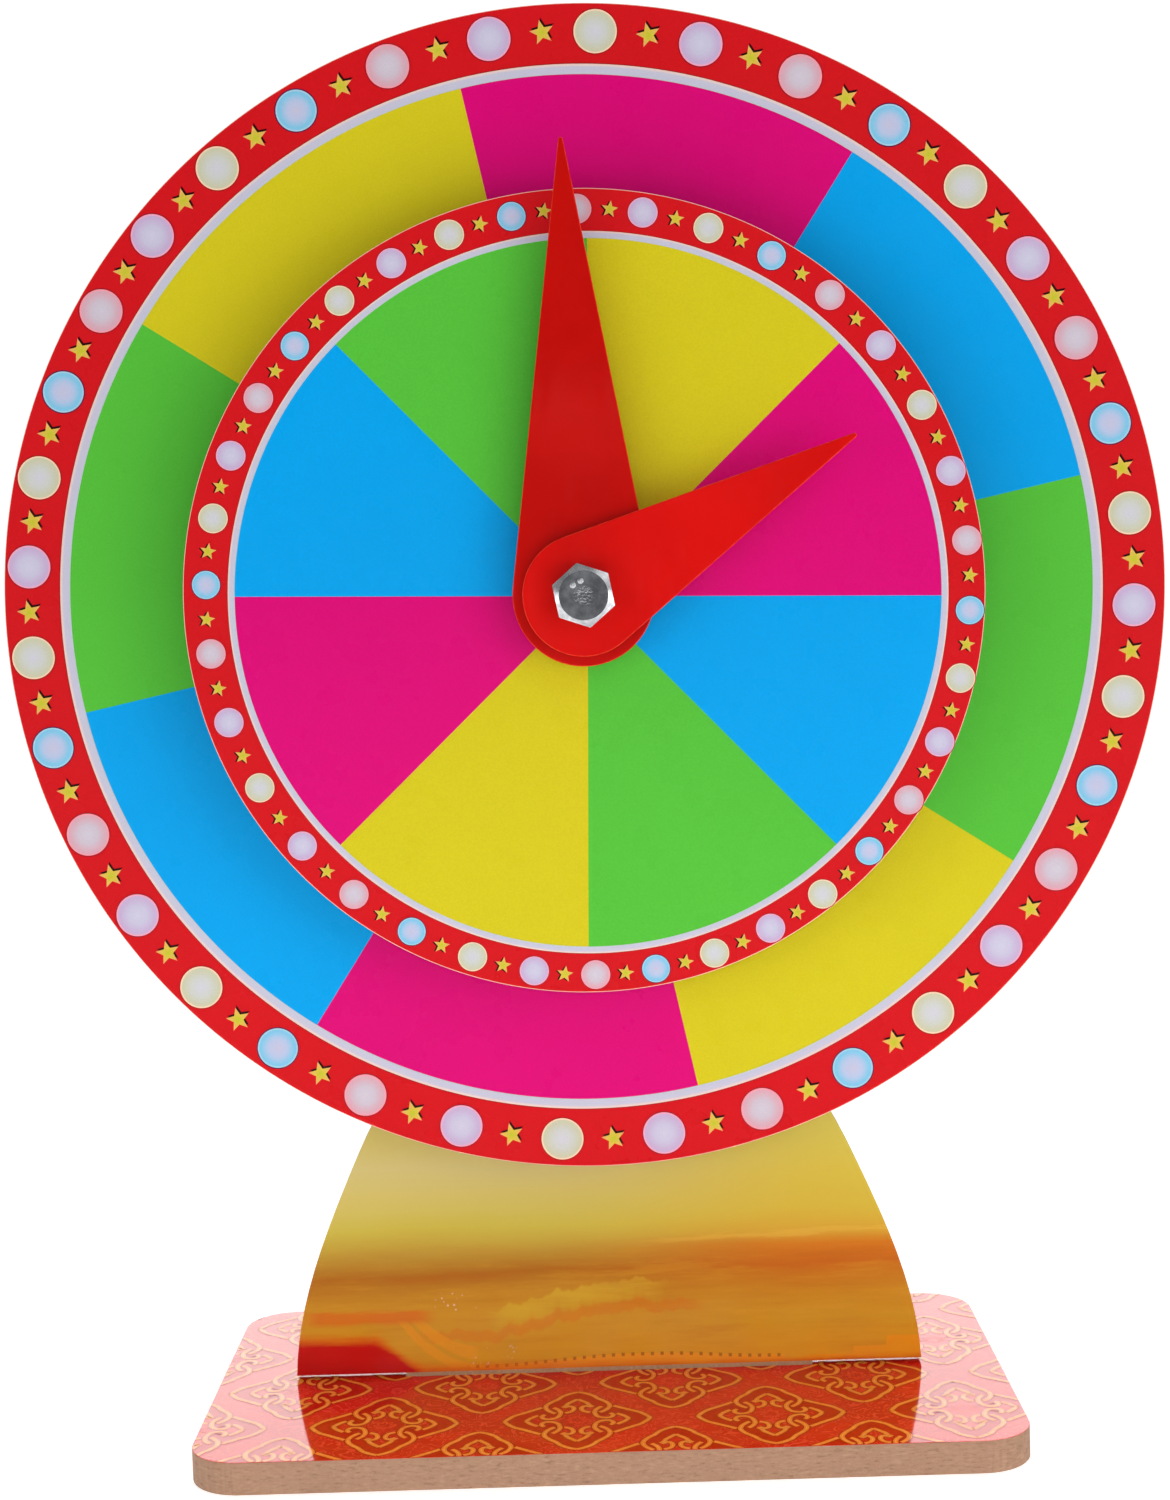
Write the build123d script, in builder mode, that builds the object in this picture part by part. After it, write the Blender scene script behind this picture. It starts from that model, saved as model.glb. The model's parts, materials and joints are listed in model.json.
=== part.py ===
from build123d import *
import os
from math import radians, tan

os.makedirs("parts", exist_ok=True)

# A tabletop spinner: two printed discs and two pointers turn on one bolt, which
# crosses a flat stand panel plugged into a base board.
#
# Frame: origin at the middle of the base's underside, +X to the player's right,
# +Z up, and the player at -Y. "Ahead" is a distance from the panel's front face
# towards the player, so the bolt's stack is laid out as one row of lengths.

# ---------------------------------------------------------------- driving sizes
base_width = 210.0
base_depth = 120.0
base_corner = 13.5
base_thickness = 8.0
base_film = 0.4

panel_thickness = 5.0
panel_film = 0.25
panel_foot_half = 84.5       # half width at the shoulders
panel_neck_half = 34.0       # half width behind the hub
panel_neck_drop = 66.0       # the neck's straight sides start this far below the hub
panel_flank = [(80.3, 33.0), (68.9, 62.5), (61.9, 77.0)]  # the curved side, going up
shoulder_gap = 1.0           # the shoulders stop this far above the base
tab_half = 55.0
tab_ground_clearance = 0.4
slot_play = 0.25             # round the tab, on every side

hub_height = 218.0
outer_disc_radius = 150.0
inner_disc_radius = 101.0
disc_thickness = 3.0
disc_film = 0.25
film_hole_margin = 0.5       # the disc film's hole is this much wider than the bearing
panel_film_hole_margin = 1.0  # and the panel film's hole than the washer

bolt_radius = 4.0            # M8, drawn at its major diameter
bolt_length = 60.0           # under the head
bolt_clearance = 0.2         # round the shank, in the panel and the plain washers
bolt_end_chamfer = 0.7
across_flats = 14.0
bolt_head_height = 5.3
bolt_head_turn = -19.5       # where one corner of the hexagon points, in degrees
chamfer_angle = 30.0
chamfer_start = 0.865        # radius of the chamfer circle over half the flats
head_dimple_radius = 1.3
head_dimple_depth = 0.2
head_mark_count = 2          # plain raised dots on the head
head_mark_radius = 0.7
head_mark_height = 0.2
head_mark_circle = 3.6
head_mark_start = 100.0      # where the first dot is, in degrees
head_mark_spacing = 35.0

bearing_width = 7.0          # 608 ball bearing: 8 x 22 x 7
bearing_outer_radius = 11.0
outer_race_land = 9.2
inner_race_land = 5.75
ball_radius = 1.985
ball_pitch_radius = 7.475
ball_count = 7
groove_radius = 2.06
shield_thickness = 0.35
shield_inset = 0.2
shield_inner_radius = 6.2
cage_inner_radius = 6.9
cage_outer_radius = 8.1
cage_half_width = 2.6
cage_pocket_radius = 2.05

flange_radius = 22.0         # bearing housing on the back of each disc
flange_lip = 1.5
flange_lip_radius = 9.8
flange_chamfer = 0.8
screw_circle = 16.5
screw_count = 4
screw_radius = 1.3
screw_head_radius = 2.6
screw_head_height = 1.7
screw_head_fillet = 0.7
screw_bite = 2.4             # how far each screw goes into the board
recess_length = 3.0
recess_width = 0.6
recess_depth = 0.9

washer_thickness = 1.6
washer_radius = 8.0
nut_thickness = 4.0
nut_turn = 10.0              # where one corner of the clamp nut points, in degrees
shim_radius = 5.75
shim_thickness = 1.4
disc_spacing = 9.0           # between the two bearings
spacer_radius = 6.0
spacer_bore = 4.1
pointer_standoff = 6.0       # from the inner bearing to the pointer sleeve
sleeve_radius = 5.0
pointer_bore = 5.05
slip_washer_thickness = 0.6
slip_washer_radius = 9.0
running_gap = 0.1            # beside each pointer, along the bolt

pointer_thickness = 2.5
pointer_edge = 0.35
pointer_tip_radius = 0.6
long_pointer_length = 112.0
long_pointer_hub = 17.7
long_pointer_turn = 91.1     # where it points, counter-clockwise from +X
short_pointer_length = 77.7
short_pointer_hub = 15.15
short_pointer_turn = 28.7

lock_nut_hex = 6.0
lock_nut_height = 8.0
lock_nut_collar = 6.3
lock_nut_fillet = 0.6
insert_radius = 5.3
insert_depth = 1.7
insert_inset = 0.3           # the insert lies this far inside the collar's end

# ------------------------------------------------------- positions along the bolt
nut_back = washer_thickness
shim_back = nut_back + nut_thickness
outer_bearing_back = shim_back + shim_thickness
disc_spacer_back = outer_bearing_back + bearing_width
inner_bearing_back = disc_spacer_back + disc_spacing
standoff_back = inner_bearing_back + bearing_width
sleeve_back = standoff_back + pointer_standoff
long_pointer_back = sleeve_back + slip_washer_thickness + running_gap
slip_washer_back = long_pointer_back + pointer_thickness + running_gap
short_pointer_back = slip_washer_back + slip_washer_thickness + running_gap
head_seat = short_pointer_back + pointer_thickness + running_gap
head_face = head_seat + bolt_head_height
rear_washer_front = -panel_thickness
lock_nut_front = rear_washer_front - washer_thickness
bolt_end = head_seat - bolt_length

base_top = base_thickness + base_film
shoulder_height = base_top + shoulder_gap

# Planes: "upright" has its own y up the panel, "hub" is the same at the bolt's
# axis, and "section" holds the axis, with x ahead and y away from it.
upright = Plane(origin=(0, 0, 0), x_dir=(1, 0, 0), z_dir=(0, -1, 0))
hub = Plane(origin=(0, 0, hub_height), x_dir=(1, 0, 0), z_dir=(0, -1, 0))
section = Plane(origin=(0, 0, hub_height), x_dir=(0, -1, 0), z_dir=(-1, 0, 0))
hub_axis = Axis((0, 0, hub_height), (0, -1, 0))


def save(piece, name):
    piece.part.label = name
    export_step(piece.part, f"parts/{name}.step")


def ring(name, back, length, outer_radius, inner_radius):
    """A plain washer, spacer or sleeve on the bolt."""
    with BuildPart() as piece:
        with BuildSketch(hub.offset(back)):
            Circle(outer_radius)
            Circle(inner_radius, mode=Mode.SUBTRACT)
        extrude(amount=length)
    save(piece, name)


# --------------------------------------------------------------------------- base
def base_outline():
    """The rounded board with the slot for the panel's tab."""
    RectangleRounded(base_width, base_depth, base_corner)
    with Locations((0, panel_thickness / 2)):
        Rectangle(
            2 * (tab_half + slot_play),
            panel_thickness + 2 * slot_play,
            mode=Mode.SUBTRACT,
        )


with BuildPart() as base_board:
    with BuildSketch(Plane.XY):
        base_outline()
    extrude(amount=base_thickness)
save(base_board, "base_board")

with BuildPart() as base_top_film:
    with BuildSketch(Plane.XY.offset(base_thickness)):
        base_outline()
    extrude(amount=base_film)
save(base_top_film, "base_top_film")


# -------------------------------------------------------------------------- panel
def panel_side():
    """One side of the bell: shoulder, curved flank, neck and round top."""
    shoulder = (panel_foot_half, shoulder_height)
    neck = (panel_neck_half, hub_height - panel_neck_drop)
    Spline(shoulder, *panel_flank, neck, tangents=[(-0.05, 1), (0, 1)])
    Line(neck, (panel_neck_half, hub_height))
    CenterArc((0, hub_height), panel_neck_half, 0, 90)


with BuildPart() as stand_panel:
    with BuildSketch(upright):
        with BuildLine():
            panel_side()
            Line((0, shoulder_height), (panel_foot_half, shoulder_height))
            mirror(about=Plane.YZ)
        make_face()
        with Locations((0, (tab_ground_clearance + shoulder_height) / 2)):
            Rectangle(2 * tab_half, shoulder_height - tab_ground_clearance)
    extrude(amount=-panel_thickness)
    with BuildSketch(hub):
        Circle(bolt_radius + bolt_clearance)
    extrude(amount=-panel_thickness, mode=Mode.SUBTRACT)
save(stand_panel, "stand_panel")

with BuildPart() as stand_panel_film:
    with BuildSketch(upright):
        with BuildLine():
            panel_side()
            Line((0, shoulder_height), (panel_foot_half, shoulder_height))
            mirror(about=Plane.YZ)
        make_face()
        with Locations((0, hub_height)):
            Circle(washer_radius + panel_film_hole_margin, mode=Mode.SUBTRACT)
    extrude(amount=panel_film)
save(stand_panel_film, "stand_panel_film")


# -------------------------------------------------------------- bolt and fasteners
def hexagon(turn):
    RegularPolygon(across_flats / 2, 6, major_radius=False, rotation=turn)


def cone_profile(seat, face):
    """Half section that trims a hexagon's corners at its outer face."""
    reach = across_flats         # well outside the hexagon's corners
    start = chamfer_start * across_flats / 2
    setback = (reach - start) * tan(radians(chamfer_angle))
    if face < seat:
        setback = -setback
    Polygon(
        (seat, 0),
        (seat, reach),
        (face - setback, reach),
        (face, start),
        (face, 0),
        align=None,
    )


with BuildPart() as axle_bolt:
    with BuildSketch(hub.offset(head_seat)):
        hexagon(bolt_head_turn)
    extrude(amount=bolt_head_height)
    with BuildSketch(section):
        cone_profile(head_seat - across_flats, head_face)
    revolve(axis=hub_axis, mode=Mode.INTERSECT)
    with BuildSketch(hub.offset(head_face)):
        Circle(head_dimple_radius)
    extrude(amount=-head_dimple_depth, mode=Mode.SUBTRACT)
    with BuildSketch(hub.offset(head_face)):
        with PolarLocations(
            head_mark_circle,
            head_mark_count,
            start_angle=head_mark_start,
            angular_range=head_mark_spacing * head_mark_count,
        ):
            Circle(head_mark_radius)
    extrude(amount=head_mark_height)
    with BuildSketch(hub.offset(head_seat)):
        Circle(bolt_radius)
    extrude(amount=-bolt_length)
    chamfer(axle_bolt.faces().sort_by(Axis.Y)[-1].edges(), bolt_end_chamfer)
save(axle_bolt, "axle_bolt")

with BuildPart() as clamp_nut:
    with BuildSketch(hub.offset(nut_back)):
        hexagon(nut_turn)
    extrude(amount=nut_thickness)
    with BuildSketch(section):
        cone_profile(nut_back - across_flats, nut_back + nut_thickness)
    revolve(axis=hub_axis, mode=Mode.INTERSECT)
    with BuildSketch(hub.offset(nut_back)):
        Circle(bolt_radius)
    extrude(amount=nut_thickness, mode=Mode.SUBTRACT)
save(clamp_nut, "clamp_nut")

with BuildPart() as lock_nut:
    with BuildSketch(hub.offset(lock_nut_front)):
        hexagon(0)
    extrude(amount=-lock_nut_hex)
    with BuildSketch(section):
        cone_profile(lock_nut_front + across_flats, lock_nut_front - lock_nut_hex)
    revolve(axis=hub_axis, mode=Mode.INTERSECT)
    with BuildSketch(hub.offset(lock_nut_front)):
        Circle(lock_nut_collar)
    extrude(amount=-lock_nut_height)
    fillet(lock_nut.faces().sort_by(Axis.Y)[-1].edges(), lock_nut_fillet)
    with BuildSketch(hub.offset(lock_nut_front)):
        Circle(bolt_radius)
    extrude(amount=-lock_nut_height, mode=Mode.SUBTRACT)
    with BuildSketch(hub.offset(lock_nut_front - lock_nut_height)):
        Circle(insert_radius)
    extrude(amount=insert_depth, mode=Mode.SUBTRACT)
save(lock_nut, "lock_nut")

insert_back = lock_nut_front - lock_nut_height + insert_inset
ring("lock_nut_insert", insert_back, insert_depth - insert_inset, insert_radius, bolt_radius)
washer_bore = bolt_radius + bolt_clearance
ring("rear_washer", lock_nut_front, washer_thickness, washer_radius, washer_bore)
ring("front_washer", 0, washer_thickness, washer_radius, washer_bore)
ring("bearing_shim", shim_back, shim_thickness, shim_radius, spacer_bore)
ring("disc_spacer", disc_spacer_back, disc_spacing, spacer_radius, spacer_bore)
ring("pointer_standoff", standoff_back, pointer_standoff, spacer_radius, spacer_bore)
ring("pointer_sleeve", sleeve_back, head_seat - sleeve_back, sleeve_radius, spacer_bore)

with BuildPart() as slip_washers:
    for back in (sleeve_back, slip_washer_back):
        with BuildSketch(hub.offset(back)):
            Circle(slip_washer_radius)
            Circle(sleeve_radius, mode=Mode.SUBTRACT)
        extrude(amount=slip_washer_thickness)
save(slip_washers, "slip_washers")


# ----------------------------------------------------------------------- bearings
def race(name, middle, inner_radius, outer_radius):
    with BuildPart() as piece:
        with BuildSketch(section):
            with Locations((middle, (inner_radius + outer_radius) / 2)):
                Rectangle(bearing_width, outer_radius - inner_radius)
            with Locations((middle, ball_pitch_radius)):
                Circle(groove_radius, mode=Mode.SUBTRACT)
        revolve(axis=hub_axis)
    save(piece, name)


def bearing(prefix, back):
    """A shielded ball bearing whose back face is at the given place."""
    middle = back + bearing_width / 2
    race(f"{prefix}_bearing_inner_race", middle, bolt_radius, inner_race_land)
    race(f"{prefix}_bearing_outer_race", middle, outer_race_land, bearing_outer_radius)

    with BuildPart() as shields:
        front_shield = back + bearing_width - shield_inset - shield_thickness
        for place in (back + shield_inset, front_shield):
            with BuildSketch(hub.offset(place)):
                Circle(outer_race_land)
                Circle(shield_inner_radius, mode=Mode.SUBTRACT)
            extrude(amount=shield_thickness)
    save(shields, f"{prefix}_bearing_shields")

    with BuildPart(hub.offset(middle)) as balls:
        with PolarLocations(ball_pitch_radius, ball_count):
            Sphere(ball_radius)
    save(balls, f"{prefix}_bearing_balls")

    with BuildPart(hub.offset(middle)) as cage:
        Cylinder(cage_outer_radius, 2 * cage_half_width)
        Cylinder(cage_inner_radius, 2 * cage_half_width, mode=Mode.SUBTRACT)
        with PolarLocations(ball_pitch_radius, ball_count):
            Cylinder(
                cage_pocket_radius,
                4 * (cage_outer_radius - cage_inner_radius),
                rotation=(0, 90, 0),
                mode=Mode.SUBTRACT,
            )
    save(cage, f"{prefix}_bearing_cage")


bearing("outer", outer_bearing_back)
bearing("inner", inner_bearing_back)


# -------------------------------------------------------------------------- discs
def screw_places():
    return PolarLocations(screw_circle, screw_count, start_angle=45)


def disc(prefix, radius, bearing_back):
    """A printed board with a bearing housing screwed to its back."""
    board_front = bearing_back + bearing_width
    board_back = board_front - disc_thickness
    flange_back = bearing_back - flange_lip

    with BuildPart() as board:
        with BuildSketch(hub.offset(board_back)):
            Circle(radius)
            Circle(bearing_outer_radius, mode=Mode.SUBTRACT)
        extrude(amount=disc_thickness)
        with BuildSketch(hub.offset(board_back)):
            with screw_places():
                Circle(screw_radius)
        extrude(amount=screw_bite, mode=Mode.SUBTRACT)
    save(board, f"{prefix}_disc_board")

    film_hole = bearing_outer_radius + film_hole_margin
    ring(f"{prefix}_disc_film", board_front, disc_film, radius, film_hole)

    with BuildPart() as flange:
        with BuildSketch(hub.offset(flange_back)):
            Circle(flange_radius)
        extrude(amount=board_back - flange_back)
        chamfer(flange.faces().sort_by(Axis.Y)[-1].edges(), flange_chamfer)
        with BuildSketch(hub.offset(bearing_back)):
            Circle(bearing_outer_radius)
        extrude(amount=bearing_width, mode=Mode.SUBTRACT)
        with BuildSketch(hub.offset(flange_back)):
            Circle(flange_lip_radius)
            with screw_places():
                Circle(screw_radius)
        extrude(amount=board_back - flange_back, mode=Mode.SUBTRACT)
    save(flange, f"{prefix}_disc_flange")

    with BuildPart() as screws:
        with BuildSketch(hub.offset(flange_back)):
            with screw_places():
                Circle(screw_head_radius)
        extrude(amount=-screw_head_height)
        heads = screws.faces().filter_by(Axis.Y).group_by(Axis.Y)[-1]
        fillet(heads.edges(), screw_head_fillet)
        with BuildSketch(hub.offset(flange_back)):
            with screw_places():
                Circle(screw_radius)
        extrude(amount=board_back - flange_back + screw_bite)
        with BuildSketch(hub.offset(flange_back - screw_head_height)):
            with screw_places():
                Rectangle(recess_length, recess_width)
                Rectangle(recess_width, recess_length)
        extrude(amount=recess_depth, mode=Mode.SUBTRACT)
    save(screws, f"{prefix}_disc_screws")


disc("outer", outer_disc_radius, outer_bearing_back)
disc("inner", inner_disc_radius, inner_bearing_back)


# ----------------------------------------------------------------------- pointers
def pointer(name, back, length, hub_radius, turn):
    """A flat hand: two straight sides from the hub's circle to a blunt tip."""
    tip_centre = length - pointer_tip_radius
    place = Plane(
        hub.offset(back).location * Location((0, 0, 0), (0, 0, turn))
    )
    with BuildPart() as hand:
        with BuildSketch(place):
            Circle(hub_radius)
            with Locations((tip_centre, 0)):
                Circle(pointer_tip_radius)
            make_hull()
            Circle(pointer_bore, mode=Mode.SUBTRACT)
        extrude(amount=pointer_thickness)
        front = hand.faces().sort_by(Axis.Y)[0]
        fillet(front.outer_wire().edges(), pointer_edge)
    save(hand, name)


pointer(
    "long_pointer",
    long_pointer_back,
    long_pointer_length,
    long_pointer_hub,
    long_pointer_turn,
)
pointer(
    "short_pointer",
    short_pointer_back,
    short_pointer_length,
    short_pointer_hub,
    short_pointer_turn,
)
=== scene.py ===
import json
import math

import bmesh
import bpy
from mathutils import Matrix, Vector
from mathutils.geometry import interpolate_bezier


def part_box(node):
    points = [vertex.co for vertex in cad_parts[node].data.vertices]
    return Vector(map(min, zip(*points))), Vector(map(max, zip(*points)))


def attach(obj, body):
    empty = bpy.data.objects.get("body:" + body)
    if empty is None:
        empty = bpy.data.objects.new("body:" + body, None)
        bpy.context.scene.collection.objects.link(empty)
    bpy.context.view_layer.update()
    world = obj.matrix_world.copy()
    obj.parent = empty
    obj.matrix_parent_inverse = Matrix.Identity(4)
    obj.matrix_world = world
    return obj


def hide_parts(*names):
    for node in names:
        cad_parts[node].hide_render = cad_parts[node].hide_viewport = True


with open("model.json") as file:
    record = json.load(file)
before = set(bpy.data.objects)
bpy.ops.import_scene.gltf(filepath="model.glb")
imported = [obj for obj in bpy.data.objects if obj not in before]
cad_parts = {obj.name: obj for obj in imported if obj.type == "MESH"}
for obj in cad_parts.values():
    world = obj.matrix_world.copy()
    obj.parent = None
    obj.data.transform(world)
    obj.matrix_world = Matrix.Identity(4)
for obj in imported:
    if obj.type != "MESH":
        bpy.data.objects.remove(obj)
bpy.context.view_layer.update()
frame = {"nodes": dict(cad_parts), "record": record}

# ---- sizes: lengths in metres and angles in degrees, where nothing else is said
mm = 0.001
joints = {joint["name"]: joint for joint in frame["record"]["behaviour"]["joints"]}
hub = Vector(joints["outer_disc_spin"]["pos_m"])


def ahead_of(node):
    """How far a node's back and front lie ahead of the panel's front face."""
    low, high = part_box(node)
    return -high.y, -low.y


def radius_of(node):
    low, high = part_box(node)
    return (high.z - low.z) / 2


# The artwork is drawn once, in shares of its disc's radius, for both discs.
ring_outer = 0.898
ring_inner = 0.8807
lamp_circle = 0.9523
lamp_radius = 0.0368
blue_lamp_radius = 0.0350
lamp_outline = 0.0020
lamp_count = 36
first_lamp = 5.2             # degrees clockwise from the artwork's top
# The lamps aren't evenly spaced: they bunch and spread round the band in waves,
# each with its count round the disc, its size in degrees and its phase.
lamp_waves = ((1, 0.64, -165.0), (2, 2.0, -34.0), (3, 0.33, -34.0), (4, 0.21, -45.0))
star_radius = 0.0213
star_waist = 0.43
star_shadow = 0.0046
star_shadow_turn = 38.0
outer_art_turn = 11.6        # counter-clockwise, seen from the front
inner_art_turn = -226.7
outer_art_slip = Vector((-0.8, 0, 0.1)) * mm   # each print sits a little off its board's middle
inner_art_slip = Vector((1.0, 0, -0.3)) * mm
sector_names = ("magenta", "blue", "green", "yellow")   # each is on the disc twice
sector_angle = 45
film_hole = 11.5 * mm
board_hole = 11.0 * mm
disc_ease = 0.2 * mm         # how far a disc board's edges are eased
film_layers = 8              # a disc film's thickness, in shares for its inks
ink_layers = 4               # how many of them lie ahead of its ground
lamp_colours = (
    "cream lilac pink blue cream lilac pink blue cream "
    "lilac cream blue pink lilac cream blue pink lilac"
).split()


# ---- node helpers
def ink(red, green, blue):
    """A colour given as display values from 0 to 255, as the shader wants it."""
    shares = [value / 255 for value in (red, green, blue)]
    return [
        share / 12.92 if share <= 0.04045 else ((share + 0.055) / 1.055) ** 2.4
        for share in shares
    ] + [1.0]


class Nodes:
    """Short calls that make and join the nodes of a material or of the world."""

    def __init__(self, tree, coordinates):
        self.nodes = tree.nodes
        self.links = tree.links
        self.place = self.add("ShaderNodeTexCoord").outputs[coordinates]

    def join(self, value, socket):
        """Links an output, or sets a plain value."""
        if isinstance(value, bpy.types.NodeSocket):
            self.links.new(value, socket)
        else:
            socket.default_value = value

    def add(self, kind, inputs=None, **settings):
        """A new node with these settings and, by name or number, these inputs."""
        node = self.nodes.new(kind)
        for name, value in settings.items():
            setattr(node, name, value)
        for name, value in (inputs or {}).items():
            self.join(value, node.inputs[name])
        return node

    def axis(self, name, where=None):
        return self.add("ShaderNodeSeparateXYZ", {0: where or self.place}).outputs[name]

    def math(self, operation, first, second=0.0):
        return self.add("ShaderNodeMath", {0: first, 1: second}, operation=operation).outputs[0]

    def plus(self, first, second):
        return self.math("ADD", first, second)

    def minus(self, first, second):
        return self.math("SUBTRACT", first, second)

    def times(self, *values):
        product = values[0]
        for value in values[1:]:
            product = self.math("MULTIPLY", product, value)
        return product

    def band(self, value, low, high, start=0.0, end=1.0):
        """Start at low and end at high, with a smooth change between them."""
        ends = {"Value": value, "From Min": low, "From Max": high, "To Min": start, "To Max": end}
        return self.add("ShaderNodeMapRange", ends, interpolation_type="SMOOTHSTEP").outputs["Result"]

    def window(self, value, low, high, soft):
        """One from low to high, falling to nought over the soft width outside them."""
        return self.times(self.band(value, low - soft, low), self.band(value, high + soft, high))


class Shader(Nodes):
    """A material with one Principled shader; coat() lays colours over its paint."""

    def __init__(self, name, **sockets):
        self.material = bpy.data.materials.new(name)
        self.material.use_nodes = True
        super().__init__(self.material.node_tree, "Object")
        self.bsdf = self.nodes["Principled BSDF"]
        self.paint = None
        for socket, value in sockets.items():
            self.bsdf.inputs[socket.replace("_", " ")].default_value = value

    def stretch(self, x, y, z):
        return self.add("ShaderNodeMapping", {"Vector": self.place, "Scale": (x, y, z)}).outputs["Vector"]

    def noise(self, scale, detail=3.0, rough=0.5, where=None, distort=0.0):
        look = {"Scale": scale, "Detail": detail, "Roughness": rough, "Distortion": distort}
        return self.add("ShaderNodeTexNoise", {"Vector": where or self.place, **look}).outputs["Fac"]

    def cells(self, scale):
        return self.add("ShaderNodeTexVoronoi", {"Vector": self.place, "Scale": scale}).outputs["Distance"]

    def normal_axis(self, name):
        """How squarely the surface faces along an axis, from either side."""
        normal = self.add("ShaderNodeTexCoord").outputs["Normal"]
        return self.math("ABSOLUTE", self.axis(name, normal))

    def ramp(self, value, *stops):
        """Colours blended along a value; each stop is its place and its ink."""
        node = self.add("ShaderNodeValToRGB", {"Fac": value})
        while len(node.color_ramp.elements) < len(stops):
            node.color_ramp.elements.new(0.5)
        for element, (place, *colour) in zip(node.color_ramp.elements, stops):
            element.position = place
            element.color = ink(*colour)
        return node.outputs["Color"]

    def mix(self, share, first, second, blend="MIX"):
        parts = {"Factor": share, "A": first, "B": second}
        return self.add("ShaderNodeMix", parts, data_type="RGBA", blend_type=blend).outputs["Result"]

    def coat(self, share, colour):
        self.paint = self.mix(share, self.paint, colour)

    def colour(self, value):
        self.join(value, self.bsdf.inputs["Base Color"])

    def roughness(self, value):
        self.join(value, self.bsdf.inputs["Roughness"])

    def bump(self, height, strength, distance):
        shape = {"Height": height, "Strength": strength, "Distance": distance}
        self.join(self.add("ShaderNodeBump", shape).outputs["Normal"], self.bsdf.inputs["Normal"])


def shade(colour, amount):
    """The same colour, lighter or darker."""
    return [min(1.0, part * amount) for part in colour[:3]] + [1.0]


# ---- materials
film_shine = 0.09       # how strongly the printed films mirror the room
base_shine = 0.2
film_roughness = (0.25, 0.37)


def film_surface(shader):
    """What every printed film shares: an uneven gloss and a soft orange peel."""
    shader.roughness(shader.band(shader.noise(90, 4.0), 0.3, 0.7, *film_roughness))
    shader.bump(shader.noise(420, 2.0), 0.05, 0.00004)
    return shader.material


def printed(name, tone):
    """One ink, a little uneven in fine dots and in broad clouds."""
    shader = Shader(name, IOR=1.5, Specular_IOR_Level=film_shine)
    grain = shader.band(shader.noise(2600, 2.0), 0.35, 0.65)
    clouds = shader.band(shader.noise(22, 3.0), 0.3, 0.7)
    fine = shader.mix(grain, shade(tone, 0.93), shade(tone, 1.05))
    broad = shader.mix(clouds, shade(tone, 0.97), shade(tone, 1.02))
    shader.colour(shader.mix(0.5, fine, broad))
    return film_surface(shader)


def printed_from_mesh(name):
    """Ink whose colour is kept on the mesh, for gradients on the lamps, stars and ring."""
    shader = Shader(name, IOR=1.5, Specular_IOR_Level=film_shine)
    kept = shader.add("ShaderNodeVertexColor", layer_name="ink").outputs["Color"]
    grain = shader.band(shader.noise(2600, 2.0), 0.3, 0.7)
    dots = shader.mix(grain, ink(249, 249, 250), ink(255, 255, 255))
    shader.colour(shader.mix(1.0, kept, dots, "MULTIPLY"))
    return film_surface(shader)


def mdf(name, thin_axis):
    """Raw fibreboard: pressed, nearly even faces and darker sawn edges."""
    shader = Shader(name, IOR=1.45)
    band, coat = shader.band, shader.coat
    fibres = shader.noise(1400, 5.0, 0.65, distort=0.6)
    flecks = band(shader.noise(620, 2.0), 0.58, 0.72)
    patches = shader.noise(45, 3.0)
    shader.paint = shader.mix(band(fibres, 0.3, 0.7), ink(164, 126, 94), ink(190, 152, 118))
    coat(band(patches, 0.35, 0.7, 0.0, 0.35), ink(172, 132, 98))
    coat(shader.times(flecks, 0.35), ink(128, 90, 62))
    face = shader.paint

    # The saw's fine stripes run across the edge and fade where it turns a corner.
    across_edge = {"Z": (900, 900, 60), "Y": (900, 60, 900)}[thin_axis]
    corner = shader.times(shader.normal_axis("X"), shader.normal_axis("Y"))
    fade = band(corner, 0.02, 0.15, 0.25, 1.0)
    saw = shader.noise(1.0, 4.0, 0.6, where=shader.stretch(*across_edge))
    saw = shader.plus(shader.times(shader.minus(saw, 0.5), fade), 0.5)
    shader.paint = shader.mix(band(saw, 0.3, 0.7), ink(150, 114, 90), ink(166, 129, 104))
    coat(band(fibres, 0.25, 0.75, 0.0, 0.6), ink(170, 132, 106))
    scorch = shader.noise(38, 4.0, 0.6)
    coat(band(scorch, 0.5, 0.8, 0.0, 0.3), ink(130, 94, 72))
    grain = shader.noise(1.0, 3.0, 0.7, where=shader.stretch(420, 420, 1500))
    coat(band(grain, 0.52, 0.72, 0.0, 0.6), ink(118, 82, 60))
    coat(band(grain, 0.48, 0.28, 0.0, 0.5), ink(188, 150, 122))
    flat = band(shader.normal_axis(thin_axis), 0.6, 0.8)
    shader.colour(shader.mix(flat, shader.paint, face))
    shader.roughness(band(fibres, 0.3, 0.7, 0.72, 0.9))
    shader.bump(shader.plus(fibres, saw), 0.35, 0.00012)
    return shader.material


def lattice_ground(name):
    """The base film's red ground with its crowded small curls, under high gloss."""
    shader = Shader(name, IOR=1.52, Specular_IOR_Level=base_shine)
    flow = shader.times(shader.noise(150, 2.0, 0.5, distort=1.5), 14.0)
    lines = shader.band(shader.math("PINGPONG", flow, 1.0), 0.62, 0.86)
    patches = shader.band(shader.noise(60, 2.0), 0.35, 0.65)
    tone = shader.mix(patches, ink(204, 24, 8), ink(220, 32, 14))
    shader.colour(shader.mix(shader.times(lines, 0.7), tone, ink(244, 72, 50)))
    shader.roughness(shader.band(shader.noise(70, 3.0), 0.3, 0.7, 0.05, 0.09))
    shader.bump(shader.noise(260, 2.0), 0.03, 0.00003)
    return shader.material


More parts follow.
